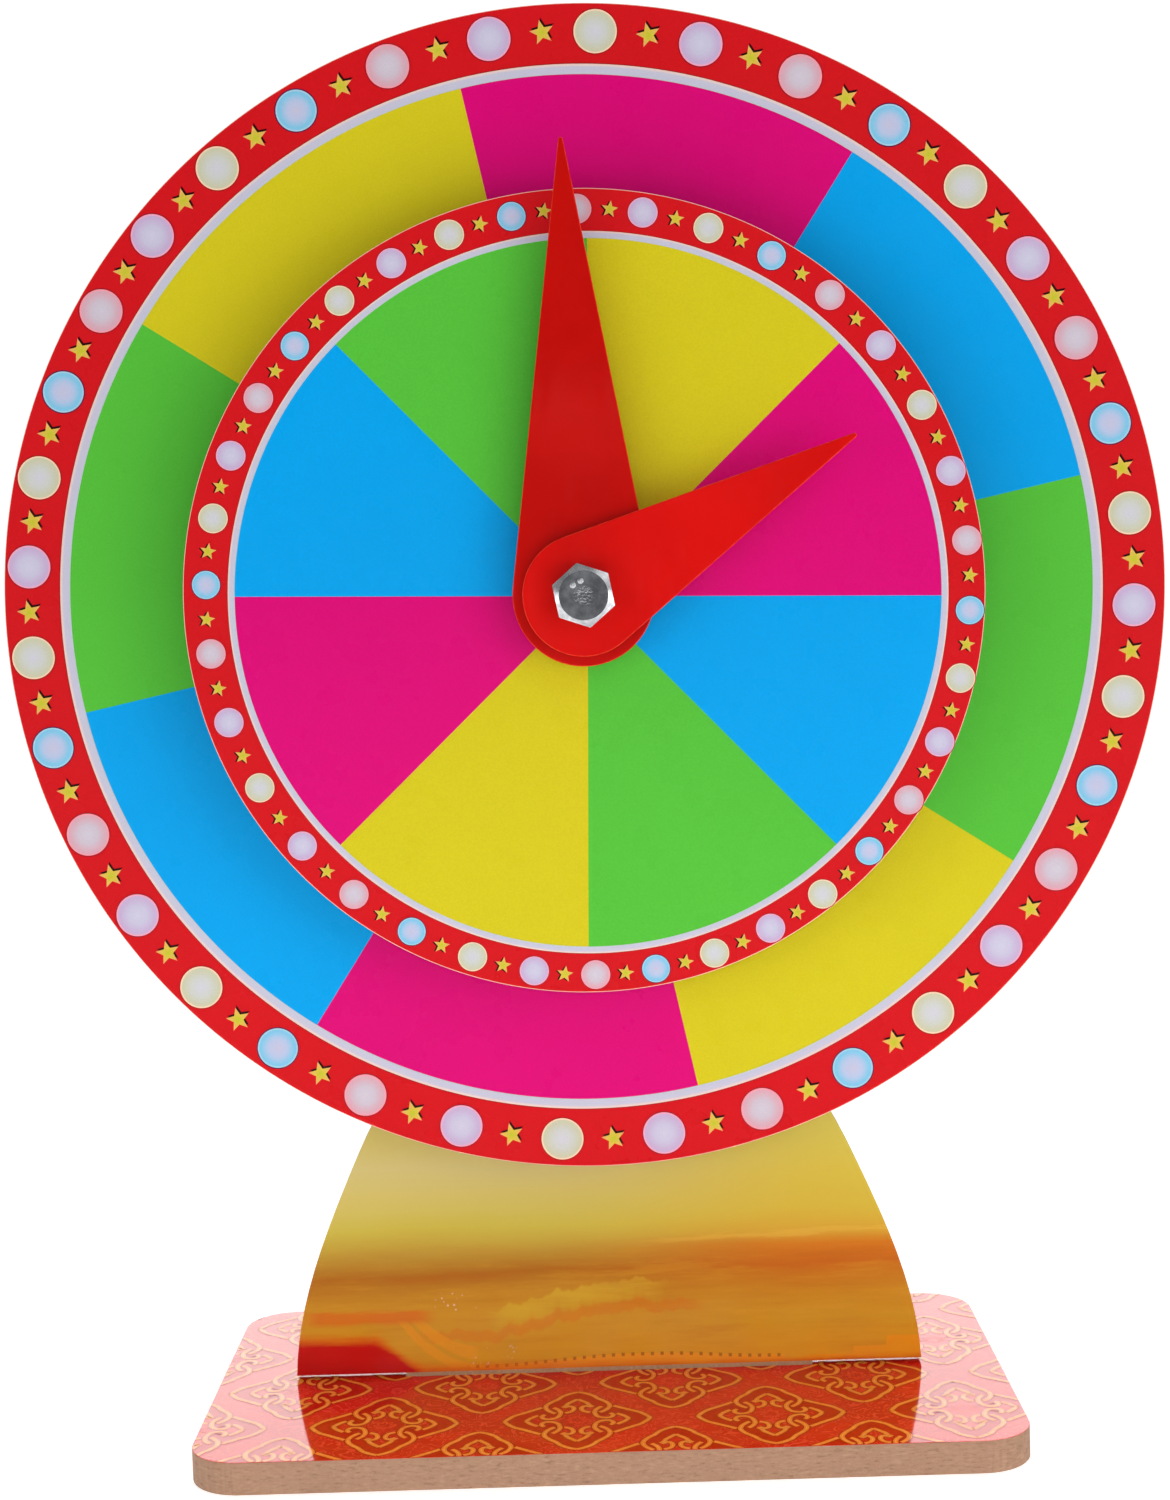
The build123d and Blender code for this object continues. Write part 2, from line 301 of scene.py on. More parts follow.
def lattice_line(name, dark, light):
    shader = Shader(name, IOR=1.52, Specular_IOR_Level=base_shine)
    weave = shader.noise(900, 3.0, 0.6)
    shader.colour(shader.mix(shader.band(weave, 0.3, 0.7), dark, light))
    shader.roughness(shader.band(shader.noise(70, 3.0), 0.3, 0.7, 0.05, 0.10))
    shader.bump(weave, 0.04, 0.00002)
    return shader.material


haze_height = 64.0      # how high above the foot the panel's sky colours reach


def sunset(name):
    """A generic evening print: golden haze, an orange cloud, low land and a red bank."""
    shader = Shader(name, IOR=1.5, Specular_IOR_Level=0.1)
    plus, minus, times = shader.plus, shader.minus, shader.times
    band, window, coat = shader.band, shader.window, shader.coat
    foot_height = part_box("stand_panel_film")[0].z
    # Across is from the middle and height from the film's foot, both in millimetres.
    across = times(shader.axis("X"), 1 / mm)
    height = times(minus(shader.axis("Z"), foot_height), 1 / mm)
    drift = shader.noise(1.0, 4.0, 0.6, where=shader.stretch(9, 9, 46), distort=0.4)
    drift = minus(drift, 0.5)
    streaks = minus(shader.noise(1.0, 6.0, 0.65, where=shader.stretch(26, 26, 240)), 0.5)
    level = plus(height, times(drift, 7.0))
    rise = shader.math("DIVIDE", level, haze_height)
    left_sky = shader.ramp(
        rise,
        (0.00, 212, 146, 32),
        (0.24, 207, 150, 38),
        (0.34, 194, 134, 34),
        (0.42, 176, 108, 24),
        (0.50, 188, 146, 48),
        (0.62, 205, 188, 74),
        (0.76, 211, 194, 108),
        (0.86, 210, 195, 124),
        (1.00, 205, 190, 106),
    )
    right_sky = shader.ramp(
        rise,
        (0.00, 224, 148, 32),
        (0.18, 207, 150, 34),
        (0.32, 203, 136, 28),
        (0.42, 200, 106, 20),
        (0.51, 210, 120, 24),
        (0.56, 215, 164, 50),
        (0.66, 214, 184, 62),
        (0.80, 213, 188, 68),
        (1.00, 208, 192, 84),
    )
    shader.paint = shader.mix(band(across, -22.0, 62.0), left_sky, right_sky)
    low_part = band(height, 38.0, 26.0)
    coat(times(band(streaks, -0.02, 0.16, 0.0, 0.30), low_part), ink(222, 166, 44))
    coat(times(band(streaks, 0.0, -0.18, 0.0, 0.24), low_part), ink(180, 92, 14))

    # A thin pale line of cloud above the orange one, rising a little to the right.
    cloud_line = minus(height, plus(times(across, 0.03), 34.0))
    cloud_line = plus(cloud_line, times(streaks, 7.0))
    extent = window(across, 30.0, 78.0, 30.0)
    coat(times(window(cloud_line, -0.4, 0.4, 0.8), extent, 0.45), ink(228, 182, 70))

    # The far land: a low pale wall of it that climbs from the left and then stops.
    notch = minus(shader.noise(1.0, 2.0, where=shader.stretch(180, 1, 1)), 0.5)
    crest = plus(band(across, -36.0, 4.0, 16.5, 23.5), times(notch, 7.0))
    below = minus(crest, height)
    wall = times(band(below, -0.6, 0.4), band(below, 7.5, 2.0), window(across, -26.0, 10.0, 8.0))
    coat(times(wall, band(streaks, -0.2, 0.1, 0.5, 1.0), 0.7), ink(214, 176, 48))
    foot = times(window(below, 6.0, 8.0, 1.0), window(across, -46.0, 20.0, 8.0))
    coat(times(foot, 0.4), ink(212, 104, 24))

    # The near land at the left: an orange fringe, and two pale tracks curving down.
    fringe = plus(height, times(streaks, 6.0))
    extent = window(across, -77.0, -52.0, 7.0)
    coat(times(window(fringe, 14.0, 16.5, 1.4), extent, 0.7), ink(214, 98, 26))
    from_foot = plus(across, 33.0)
    curve = times(from_foot, from_foot, 0.028)
    over = plus(minus(height, curve), times(streaks, 2.5))
    tracks = shader.math("MAXIMUM", window(over, -1.4, 1.0, 0.7), window(over, 3.2, 6.0, 0.7))
    extent = window(across, -58.0, -37.0, 3.0)
    coat(times(tracks, extent, band(height, 15.0, 12.0), 0.7), ink(230, 152, 34))

    # A row of small marks near the lower edge, over a brighter strip, and a stepped
    # block of bright land in the right-hand corner.
    line = plus(band(across, -34.0, 6.0, 1.2, 3.4), band(across, 14.0, 44.0, 0.0, -1.4))
    edge = minus(height, line)
    reach = window(across, -36.0, 46.0, 3.0)
    coat(times(window(edge, -2.6, -0.3, 0.5), reach, 0.8), ink(234, 146, 34))
    dash = band(shader.math("PINGPONG", times(across, 0.76), 1.0), 0.60, 0.74)
    coat(times(window(edge, -0.5, 0.2, 0.25), dash, reach, 0.75), ink(150, 76, 16))
    steps = plus(band(across, 66.0, 66.4, 1.6, 3.6), band(across, 75.0, 75.4, 0.0, 2.6))
    block = band(minus(height, steps), 0.4, -0.2)
    coat(times(block, band(across, 50.0, 58.0), 0.75), ink(236, 148, 28))

    # Small pale blossoms in three loose patches.
    dots = band(shader.cells(760), 0.30, 0.18)
    patch = band(shader.noise(150, 1.0), 0.46, 0.54)
    for middle, top, wide in ((-41.0, 19.0, 5.5), (-31.0, 4.0, 5.0), (-81.0, 6.0, 4.0)):
        extent = window(across, middle - wide, middle + wide, 1.5)
        spot = times(extent, window(height, top - 2.2, top + 2.2, 0.8))
        coat(times(spot, dots, patch, 0.85), ink(228, 196, 176))

    # The dark red bank at the lower left, with a soft, sloping top.
    bank = plus(minus(height, band(across, -49.0, -64.0, -0.8, 8.2)), times(streaks, 5.0))
    coat(band(bank, 3.4, 0.6, 0.0, 0.8), ink(212, 88, 14))
    red = shader.mix(band(drift, -0.2, 0.2), ink(178, 6, 6), ink(204, 18, 10))
    coat(band(bank, 1.4, -0.8), red)
    shader.colour(shader.paint)
    shader.roughness(band(shader.noise(80, 3.0), 0.3, 0.7, 0.16, 0.24))
    shader.bump(shader.noise(300, 2.0), 0.04, 0.00004)
    return shader.material


def acrylic_with_painted_edge_highlight(name, deep, bright):
    """Glossy red sheet whose cut edges carry a painted highlight in brighter orange-red, with faint rubbed
    marks.
    """
    shader = Shader(name, IOR=1.49, Specular_IOR_Level=0.1)
    face = shader.mix(shader.band(shader.noise(30, 3.0), 0.3, 0.7), deep, bright)
    # Painted highlight: wherever the sheet doesn't face front or back, its edges are coloured a brighter
    # orange-red.
    edge = shader.mix(shader.band(shader.noise(700, 3.0), 0.3, 0.7), ink(222, 30, 16), ink(240, 62, 36))
    flat = shader.band(shader.normal_axis("Y"), 0.80, 0.97)
    shader.colour(shader.mix(flat, edge, face))
    scuffs = shader.noise(1.0, 5.0, 0.7, where=shader.stretch(300, 300, 60))
    shader.roughness(shader.band(scuffs, 0.45, 0.8, 0.10, 0.26))
    shader.bump(shader.noise(240, 2.0), 0.03, 0.00003)
    return shader.material


def metal(name, dark, light, rough, turned=False, rubbed=None):
    """Plated or polished metal. Turned metal has fine rings round the bolt's axis;
    rubbed, which needs turned, is the colour of scratches near that axis."""
    shader = Shader(name, Metallic=1.0)
    if turned:
        across = shader.axis("X")
        up = shader.minus(shader.axis("Z"), hub.z)
        reach_squared = shader.plus(shader.times(across, across), shader.times(up, up))
        rings = shader.times(shader.math("SQRT", reach_squared), 5200.0)
        spun = shader.add("ShaderNodeCombineXYZ", {0: rings})
        grain = shader.noise(1.0, 4.0, 0.6, where=spun.outputs[0])
    else:
        grain = shader.noise(1.0, 4.0, 0.6, where=shader.stretch(500, 2600, 500))
    shader.paint = shader.mix(shader.band(shader.noise(320, 3.0, 0.6), 0.3, 0.7), dark, light)
    shader.coat(shader.band(grain, 0.3, 0.7, 0.0, 0.35), shade(dark, 0.8))
    if rubbed:
        near = shader.band(reach_squared, (3.0 * mm) ** 2, (1.2 * mm) ** 2)
        scratches = shader.noise(1.0, 3.0, 0.6, where=shader.stretch(1600, 1600, 4200), distort=1.2)
        shader.coat(shader.times(shader.band(scratches, 0.50, 0.62), near, 0.75), rubbed)
    shader.colour(shader.paint)
    shader.roughness(shader.band(grain, 0.25, 0.75, rough - 0.06, rough + 0.10))
    shader.bump(grain, 0.08, 0.00002)
    return shader.material


def plastic(name, dark, light, rough):
    shader = Shader(name, IOR=1.48)
    pores = shader.noise(1900, 3.0, 0.6)
    shader.colour(shader.mix(shader.band(shader.noise(60, 3.0), 0.3, 0.7), dark, light))
    shader.roughness(shader.band(pores, 0.3, 0.7, rough - 0.08, rough + 0.08))
    shader.bump(pores, 0.12, 0.00004)
    return shader.material


tones = {
    "red": ink(214, 20, 28),
    "magenta": ink(224, 2, 120),
    "blue": ink(0, 166, 240),
    "green": ink(88, 196, 60),
    "yellow": ink(217, 203, 30),
}
film = {name: printed(f"print_{name}", colour) for name, colour in tones.items()}
mesh_ink = printed_from_mesh("print_lamps_and_stars")
# Pale pink for the film's cut edge: partly its paper core, partly a painted highlight where the rolled
# edge catches light.
pale_edge_and_highlight = printed("film_edge_core_and_painted_highlight", ink(252, 190, 172))
star_shade = printed("print_star_shade", ink(44, 4, 8))
mdf_upright = mdf("mdf_upright", "Y")
mdf_level = mdf("mdf_level", "Z")
zinc = metal("zinc_plate", ink(176, 178, 182), ink(232, 233, 236), 0.22)
zinc_turned = metal("zinc_turned", ink(120, 122, 126), ink(160, 162, 166), 0.34, turned=True)
bolt_face = metal(
    "bolt_face", ink(84, 86, 90), ink(122, 124, 128), 0.34, turned=True, rubbed=ink(216, 218, 222)
)
steel = metal("bearing_steel", ink(170, 172, 176), ink(214, 216, 220), 0.14, turned=True)
brass = metal("cage_brass", ink(150, 116, 58), ink(196, 158, 88), 0.30)
nylon = plastic("nylon", ink(214, 213, 206), ink(236, 235, 230), 0.5)
black = plastic("moulded_black", ink(20, 20, 22), ink(34, 34, 36), 0.48)
pointer_reds = {
    "long_pointer": acrylic_with_painted_edge_highlight("long_pointer_red", ink(186, 8, 4), ink(202, 12, 6)),
    # Painted light: the short pointer is the same red acrylic, set lighter to stand in for light the lamps
    # give it too little of.
    "short_pointer": acrylic_with_painted_edge_highlight("short_pointer_red_painted_lighter", ink(208, 12, 8), ink(224, 16, 12)),
}


# ---- mesh helpers
def at(ahead, radius, degrees):
    """A point by its place along the bolt, distance from it, and angle from +X."""
    turn = math.radians(degrees)
    return Vector((hub.x + radius * math.cos(turn), -ahead, hub.z + radius * math.sin(turn)))


def piece(name, points, faces, material, body, nodes=(), slot=None, colours=None, sharp=30):
    mesh = bpy.data.meshes.new(name)
    mesh.from_pydata(points, [], faces)
    mesh.validate()
    mesh.shade_smooth()
    mesh.set_sharp_from_angle(angle=math.radians(sharp))
    if colours:
        layer = mesh.color_attributes.new("ink", "FLOAT_COLOR", "POINT")
        for item, colour in zip(layer.data, colours):
            item.color = colour
    mesh.materials.append(material)
    made = bpy.data.objects.new(name, mesh)
    bpy.context.collection.objects.link(made)
    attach(made, body)
    if nodes:
        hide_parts(*nodes)
    return made


def skin(rings, closed=False):
    """Points and faces between rings that each have the same number of points."""
    count = len(rings[0])
    points = [point for ring in rings for point in ring]
    pairs = [(row, row + 1) for row in range(len(rings) - 1)]
    if closed:
        pairs.append((len(rings) - 1, 0))
    faces = []
    for row, following in pairs:
        here, there = row * count, following * count
        for step in range(count):
            beside = (step + 1) % count
            faces.append((here + step, here + beside, there + beside, there + step))
    return points, faces


def capped(rings):
    """Rings skinned as a tube whose last ring is closed by one face."""
    points, faces = skin(rings)
    faces.append(tuple(range(len(points) - len(rings[-1]), len(points))))
    return points, faces


def small_ring(centre, radius, steps, ahead=0.0):
    """A circle of points ahead of a centre that is away from the hub."""
    turns = [math.tau * step / steps for step in range(steps)]
    return [
        centre + Vector((radius * math.cos(turn), -ahead, radius * math.sin(turn)))
        for turn in turns
    ]


def lathe(profile, steps=240):
    """A closed solid turned from (ahead, radius) points round the bolt's axis."""
    rings = [
        [at(ahead, radius, 360 * step / steps) for step in range(steps)]
        for ahead, radius in profile
    ]
    return skin(rings, closed=True)


def tube_profile(back, front, outer, inner, edge):
    """Half section of a washer, board or sleeve with eased edges."""
    return [
        (back, inner + edge), (back, outer - edge),
        (back + edge, outer), (front - edge, outer),
        (front, outer - edge), (front, inner + edge),
        (front - edge, inner), (back + edge, inner),
    ]


# ---- disc artwork
def art_angle(clockwise, turn):
    """An angle in the artwork, clockwise from its top, as one from +X on the disc."""
    return 90 - clockwise + turn


def sheet(outline_a, outline_b):
    """A strip between two rows of points."""
    points = outline_a + outline_b
    count = len(outline_a)
    faces = [(i, i + 1, count + i + 1, count + i) for i in range(count - 1)]
    return points, faces


def gather(parts):
    """Joins several (points, faces) into one."""
    points, faces = [], []
    for some_points, some_faces in parts:
        start = len(points)
        points += some_points
        faces += [tuple(start + corner for corner in face) for face in some_faces]
    return points, faces


def sector(front, inner, outer, clockwise, turn):
    """One coloured eighth of a disc, in steps of a degree."""
    angles = [art_angle(clockwise + step, turn) for step in range(sector_angle + 1)]
    return sheet([at(front, inner, a) for a in angles], [at(front, outer, a) for a in angles])


# The pale ring round the sectors: places across its width, and the colours there.
ring_shares = (0, 0.15, 0.7, 0.86, 1.0, 1.0, 1.1)
ring_tones = (
    ink(196, 208, 208),
    ink(203, 202, 220),
    ink(205, 202, 220),
    ink(238, 214, 208),
    ink(244, 212, 198),
    ink(148, 16, 22),
    ink(190, 20, 26),
)
lamp_tints = {
    # centre, body, edge, rim and outline
    "cream": ((214, 212, 222), (210, 212, 206), (208, 206, 176), (255, 218, 184), (172, 26, 26)),
    "lilac": ((212, 208, 228), (206, 200, 224), (204, 178, 214), (250, 172, 196), (164, 20, 40)),
    "pink": ((214, 206, 218), (212, 198, 210), (222, 172, 186), (252, 160, 172), (168, 20, 34)),
    "blue": ((204, 200, 226), (190, 202, 232), (132, 202, 234), (176, 214, 232), (92, 24, 74)),
}
lamp_steps = 48
lamp_shares = (0.45, 0.82, 0.91, 0.95, 1.0)


def lamp(centre, radius, outline, tint):
    """One printed lamp: a soft centre, a tinted edge, a bright rim and a dark line."""
    middle, body, edge, rim, line = (ink(*colour) for colour in tint)
    radii = [radius * share for share in lamp_shares] + [radius, radius + outline]
    tones_out = [body, edge, edge, rim, rim, line, line]
    rings = [small_ring(centre, reach, lamp_steps) for reach in radii]
    points, faces = skin(rings)
    colours = [tone for tone in tones_out for _ in range(lamp_steps)]
    hub_point = len(points)
    points.append(centre)
    colours.append(middle)
    faces += [(hub_point, (step + 1) % lamp_steps, step) for step in range(lamp_steps)]
    return points, faces, colours


star_tones = (ink(198, 202, 44), ink(226, 200, 60), ink(250, 176, 116))   # middle, waist, tips
star_corners = 10


def star_points(centre, radius, turn):
    """The corners of an upright star in an artwork turned by this much."""
    corners = []
    for corner in range(star_corners):
        angle = math.radians(art_angle(360 / star_corners * corner, turn))
        reach = radius * star_waist if corner % 2 else radius
        corners.append(centre + Vector((math.cos(angle), 0, math.sin(angle))) * reach)
    return corners


def lamp_angle(index):
    """Where a lamp is, clockwise from the artwork's top."""
    plain = first_lamp + 360 / lamp_count * index
    return plain + sum(
        size * math.sin(math.radians(count * plain + phase)) for count, size, phase in lamp_waves
    )


cut_edge_width = 0.20 * mm   # the film's pale paper core shows along its cut edge, painted brighter as a highlight
flat_margin = 0.05 * mm      # a ring this far inside a rounded edge keeps the face flat
roll_steps = 4               # how many steps round an eased edge
ring_steps = 360


def band_profile(back, front, outer, hole):
    """Half section of a printed film whose front edge rolls over the board's."""
    roll = 0.3 * mm
    drop = 0.1 * mm
    profile = [(back, hole), (back, outer)]
    for step in range(roll_steps + 1):
        swing = math.radians(90 * step / roll_steps)
        profile.append((front - drop * (1 - math.sin(swing)), outer - roll * (1 - math.cos(swing))))
    return profile + [(front, outer - roll - flat_margin), (front, hole)]


def ringed(front, radii, tones_out):
    """Flat rings round the bolt whose colours blend from one radius to the next."""
    rings = [[at(front, radius, step) for step in range(ring_steps)] for radius in radii]
    points, faces = skin(rings)
    return points, faces, [tone for tone in tones_out for _ in range(ring_steps)]


def disc_art(prefix, turn, slip):
    """The film of one disc: band, ring, sectors, lamps and stars in thin layers."""
    node = f"{prefix}_disc_film"
    body = f"{prefix}_disc"
    back, front = ahead_of(node)
    radius = radius_of(node)
    layer = (front - back) / film_layers
    ground = front - ink_layers * layer

    def print_on(name, points, faces, material, colours=None):
        moved = [point + slip for point in points]
        piece(f"{node}_{name}", moved, faces, material, body, [node], "wheel_film", colours)

    points, faces = lathe(band_profile(back, ground, radius, film_hole), ring_steps)
    band = piece(f"{node}_band", points, faces, film["red"], body, [node], "wheel_film")
    # The outermost faces of the rolled edge take the pale core colour with its painted highlight.
    band.data.materials.append(pale_edge_and_highlight)
    for face in band.data.polygons:
        reach = math.hypot(face.center.x - hub.x, face.center.z - hub.z)
        if reach > radius - cut_edge_width:
            face.material_index = 1

    for index, name in enumerate(sector_names):
        halves = [
            sector(ground + layer, film_hole + slip.length, ring_inner * radius, start, turn)
            for start in (sector_angle * index, sector_angle * index + 180)
        ]
        print_on(name, *gather(halves), film[name])

    width = ring_outer - ring_inner
    radii = [(ring_inner + width * share) * radius for share in ring_shares]
    points, faces, colours = ringed(ground + 2 * layer, radii, ring_tones)
    print_on("ring", points, faces, mesh_ink, colours)

    for name, tint in lamp_tints.items():
        parts, colours = [], []
        reach = (blue_lamp_radius if name == "blue" else lamp_radius) * radius
        for index in range(lamp_count):
            if lamp_colours[(index - 1) % len(lamp_colours)] != name:
                continue
            centre = at(ground + 2 * layer, lamp_circle * radius, art_angle(lamp_angle(index), turn))
            points, faces, some = lamp(centre, reach, lamp_outline * radius, tint)
            parts.append((points, faces))
            colours += some
        print_on(f"lamps_{name}", *gather(parts), mesh_ink, colours)

    stars, shades, colours = [], [], []
    drop_turn = math.radians(art_angle(star_shadow_turn, turn))
    drop = Vector((math.cos(drop_turn), 0, math.sin(drop_turn))) * star_shadow * radius
    for index in range(lamp_count):
        between = (lamp_angle(index) + lamp_angle(index + 1)) / 2
        centre = at(ground + 3 * layer, lamp_circle * radius, art_angle(between, turn))
        corners = star_points(centre, star_radius * radius, turn)
        fan = [(star_corners, corner, (corner + 1) % star_corners) for corner in range(star_corners)]
        stars.append((corners + [centre], fan))
        colours += [star_tones[2], star_tones[1]] * (star_corners // 2) + [star_tones[0]]
        fallen = centre + drop
        fallen.y = -(ground + 2 * layer)
        shades.append((star_points(fallen, star_radius * radius, turn) + [fallen], fan))
    print_on("stars", *gather(stars), mesh_ink, colours)
    print_on("star_shades", *gather(shades), star_shade)

    board = f"{prefix}_disc_board"
    back, front = ahead_of(board)
    points, faces = lathe(tube_profile(back, front, radius_of(board), board_hole, disc_ease))
    piece(f"{board}_mdf", points, faces, mdf_upright, body, [board], "mdf")


disc_art("outer", outer_art_turn, outer_art_slip)
disc_art("inner", inner_art_turn, inner_art_slip)


# ---- pointers
hand_ease = 0.35 * mm
hand_tip_radius = 0.6 * mm
hand_bore = 5.05 * mm


def hand_ring(ahead, hub_radius, length, tip_radius, turn, steps=48):
    """The pointer's outline: an arc round the hub, straight sides, a blunt tip."""
    reach = length - tip_radius
    lean = math.degrees(math.acos((hub_radius - tip_radius) / reach))
    ring = [
        at(ahead, hub_radius, turn + lean + (360 - 2 * lean) * step / steps)
        for step in range(steps + 1)
    ]
    tip = at(0, reach, turn)
    for step in range(steps // 4 + 1):
        angle = math.radians(turn - lean + 2 * lean * step / (steps // 4))
        x = tip.x + tip_radius * math.cos(angle)
        ring.append(Vector((x, -ahead, tip.z + tip_radius * math.sin(angle))))
    return ring


def hand(node, body, hub_radius, length, turn):
    """A cut sheet pointer with eased front edges and a bore for its sleeve."""
    back, front = ahead_of(node)

    def ring(ahead, inset):
        return hand_ring(ahead, hub_radius - inset, length - inset, hand_tip_radius - inset, turn)

    outline = [ring(back, 0)]
    for step in range(roll_steps + 1):
        swing = math.radians(90 * step / roll_steps)
        ahead = front - hand_ease + hand_ease * math.sin(swing)
        outline.append(ring(ahead, hand_ease * (1 - math.cos(swing))))
    outline.append(ring(front, hand_ease + flat_margin))
    angles = [math.degrees(math.atan2(point.z - hub.z, point.x - hub.x)) for point in outline[0]]
    bores = [[at(ahead, hand_bore, angle) for angle in angles] for ahead in (front, back)]
    points, faces = skin(outline + bores, closed=True)
    piece(f"{node}_sheet", points, faces, pointer_reds[node], body, [node], "pointer_plastic", sharp=40)


hand("long_pointer", "long_hand", hub_radius=17.7 * mm, length=112.0 * mm, turn=91.1)
hand("short_pointer", "short_hand", hub_radius=15.15 * mm, length=77.7 * mm, turn=28.7)


# ---- fasteners
flats = 14.0 * mm
chamfer_circle = 0.865 * flats / 2
chamfer_slope = math.tan(math.radians(30))
thread_pitch = 1.25 * mm
bolt_radius = 4.0 * mm
head_turn = -19.5
head_height = 5.3 * mm
hex_steps = 144
# In millimetres: how far the head's turned face is sunk, then the depth and radius of
# each ring from its rim inward, and the height and radius of each ring up a pip.
face_depth = 0.03
face_rings = ((0.0, 5.7), (face_depth, 5.5), (face_depth, 1.9), (0.12, 1.4), (0.2, 0.8), (0.2, 0.1))
pip_rings = ((0.0, 0.8), (0.10, 0.72), (0.18, 0.5), (0.2, 0.1))
pip_height = 0.2 * mm
pip_reach = 3.6 * mm
pip_angles = (100, 135)
pip_steps = 24
thread_length = 24 * mm
thread_depth = 0.6 * mm
thread_taper = 0.8 * mm      # the length over which the thread's end narrows
thread_steps = 36
rows_per_turn = 8
run_out_rows = 12            # rows over which the thread grows out of the shank


def hex_ring(ahead, turn):
    """A hexagon's outline, as (ahead, radius, degrees) places."""
    ring = []
    for step in range(hex_steps):
        angle = 360 * step / hex_steps
        bend = (angle - turn + 30) % 60 - 30
        reach = flats / 2 / math.cos(math.radians(30 - abs(bend)))
        ring.append((ahead, reach, angle))
    return ring


def hex_rings(seat, face, turn):
    """Rings from a hexagon's seat to the flat circle on its chamfered face."""
    side = 1 if face > seat else -1
    sides = hex_ring(seat, turn)
    crown = [
        (face - side * (reach - chamfer_circle) * chamfer_slope, reach, angle)
        for _, reach, angle in sides
    ]
    circle = [(face, chamfer_circle, angle) for _, _, angle in sides]
    return [[at(*place) for place in ring] for ring in (sides, crown, circle)]


def circle_ring(ahead, radius, steps=hex_steps):
    return [at(ahead, radius, 360 * step / steps) for step in range(steps)]


def bolt():
    """Hexagon head with a turned face, a dimple, two raised pips, and its thread."""
    back, front = ahead_of("axle_bolt")
    head_front = front - pip_height
    seat = head_front - head_height
    rings = [circle_ring(seat, bolt_radius)] + hex_rings(seat, head_front, head_turn)
    rings += [circle_ring(head_front - depth * mm, radius * mm) for depth, radius in face_rings]
    points, faces = capped(rings)
    head = piece("axle_bolt_head", points, faces, zinc, "stand", ["axle_bolt"], "zinc_steel", sharp=20)
    head.data.materials.append(bolt_face)
    for face in head.data.polygons:
        middle = face.center
        reach = math.hypot(middle.x - hub.x, middle.z - hub.z)
        if reach < chamfer_circle and -middle.y > head_front - 0.5 * mm:
            face.material_index = 1

    pips = []
    for angle in pip_angles:
        centre = at(head_front - face_depth * mm, pip_reach, angle)
        rings = [small_ring(centre, radius * mm, pip_steps, height * mm) for height, radius in pip_rings]
        pips.append(capped(rings))
    piece("axle_bolt_marks", *gather(pips), zinc, "stand", ["axle_bolt"], "zinc_steel")

    shank_end = back + thread_length
    rings = [circle_ring(ahead, bolt_radius, thread_steps) for ahead in (seat, shank_end)]
    rows = int(thread_length / thread_pitch * rows_per_turn)
    for row in range(rows + 1):
        ahead = shank_end - thread_length * row / rows
        taper = min(1.0, (ahead - back) / thread_taper)
        fade = min(taper, row / run_out_rows)
        ring = []
        for step in range(thread_steps):
            phase = (row / rows_per_turn + step / thread_steps) % 1.0
            depth = thread_depth * (1 - abs(2 * phase - 1))
            reach = bolt_radius - depth * fade - thread_depth * (1 - taper)
            ring.append(at(ahead, reach, 360 * step / thread_steps))
        rings.append(ring)
    piece("axle_bolt_thread", *capped(rings), zinc, "stand", ["axle_bolt"], "zinc_steel")


def nut(node, turn, seat, face, top):
    """A hexagon nut round the bolt; top adds turned rings beyond its face."""
    rings = [circle_ring(seat, bolt_radius)] + hex_rings(seat, face, turn)
    rings += [circle_ring(ahead, radius) for ahead, radius in top]
    points, faces = skin(rings, closed=True)
    piece(f"{node}_hex", points, faces, zinc, "stand", [node], "zinc_steel", sharp=20)


bolt()
back, front = ahead_of("clamp_nut")
nut("clamp_nut", 10, back, front, [(front, 4.6 * mm), (front - 0.6 * mm, bolt_radius)])
back, front = ahead_of("lock_nut")
hex_face = front - 6.0 * mm
collar = [
    (hex_face, 6.3 * mm),
    (back + 0.7 * mm, 6.25 * mm),
    (back + 0.2 * mm, 6.0 * mm),
    (back, 5.6 * mm),
    (back + 0.1 * mm, 5.3 * mm),
    (back + 1.7 * mm, 5.3 * mm),
    (back + 1.7 * mm, bolt_radius),
]
nut("lock_nut", 0, front, hex_face, collar)


# ---- base and its film
base_low, base_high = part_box("base_board")
film_low, film_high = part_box("base_top_film")
corner_radius = 13.5 * mm
tab_low, tab_high = -55.25 * mm, 55.25 * mm
slot_back, slot_front = 5.25 * mm, -0.25 * mm
corner_steps = 16
base_ease = 0.3 * mm         # how far the board's lower edge is eased
film_roll = 0.08 * mm        # how far the film's upper edge is eased
lattice_depth = 0.10 * mm    # the share of the film's thickness that the lattice takes
lattice_margin = 0.12 * mm   # bare film between the lattice and the board's outline
weld = 0.001 * mm            # points nearer than this are one


def base_ring(height, inset):
    """The rounded rectangle, counter-clockwise from the middle of its right side."""
    half_x, half_y = base_high.x - inset, base_high.y - inset
    radius = corner_radius - inset
    ring = [Vector((half_x, 0, height))]
    for side_x, side_y, start in ((1, 1, 0), (-1, 1, 90), (-1, -1, 180), (1, -1, 270)):
        for step in range(corner_steps + 1):
            angle = math.radians(start + 90 * step / corner_steps)
            x = side_x * (half_x - radius) + radius * math.cos(angle)
            y = side_y * (half_y - radius) + radius * math.sin(angle)
            ring.append(Vector((x, y, height)))
    return ring


def slot_ring(height):
    """The slot's outline with as many points as the base's, met by direction."""
    ring = [Vector((tab_high, 0, height))]
    corners = (tab_high, slot_back), (tab_low, slot_back), (tab_low, slot_front), (tab_high, slot_front)
    for x, y in corners:
        ring += [Vector((x, y, height))] * (corner_steps + 1)
    return ring


